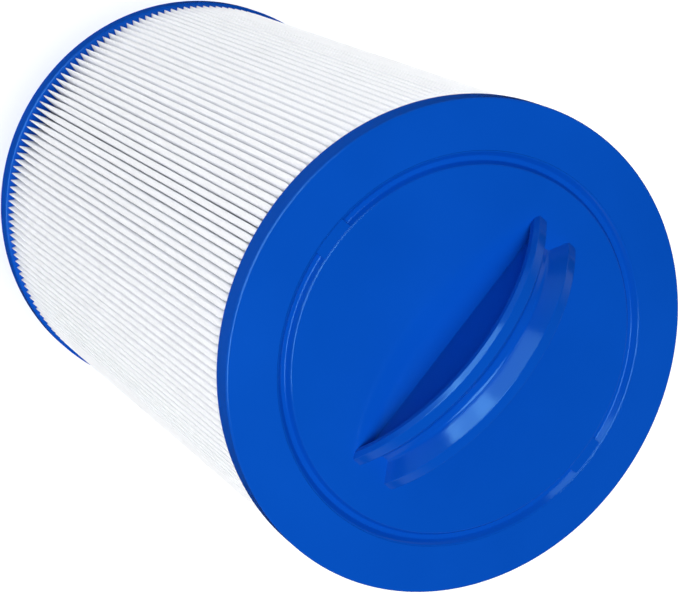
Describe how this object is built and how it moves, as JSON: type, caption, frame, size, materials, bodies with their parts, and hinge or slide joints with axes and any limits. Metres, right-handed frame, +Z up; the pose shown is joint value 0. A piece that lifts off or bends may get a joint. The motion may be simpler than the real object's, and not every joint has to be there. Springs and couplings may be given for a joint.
{
  "type": "filter cartridge",
  "caption": "Pleated pool and spa filter cartridge with cast end caps, a half-moon grip on its top plate and a male threaded outlet below.",
  "frame": {"origin": "on the cartridge's axis at the lower end of the threaded nipple", "axes": "+Z up the cartridge's axis towards the grip; the grip's chord lies along X and the two bridging tabs lie on +Y and -Y"},
  "size_m": [0.1508, 0.1508, 0.2642],
  "materials": {
    "end_cap": "cast blue polyurethane, soft gloss",
    "handle_plate": "moulded blue plastic, gloss",
    "pleats": "white spun polyester, fine speckle",
    "core": "off-white moulded plastic",
    "adapter": "white moulded plastic"
  },
  "bodies": {
    "root": {"top_end_cap": "end_cap", "handle_plate": "handle_plate", "pleated_media": "pleats", "core_segment_1": "core", "core_segment_2": "core", "core_segment_3": "core", "core_segment_4": "core", "bottom_end_cap": "end_cap", "thread_adapter": "adapter"}
  },
  "joints": []
}
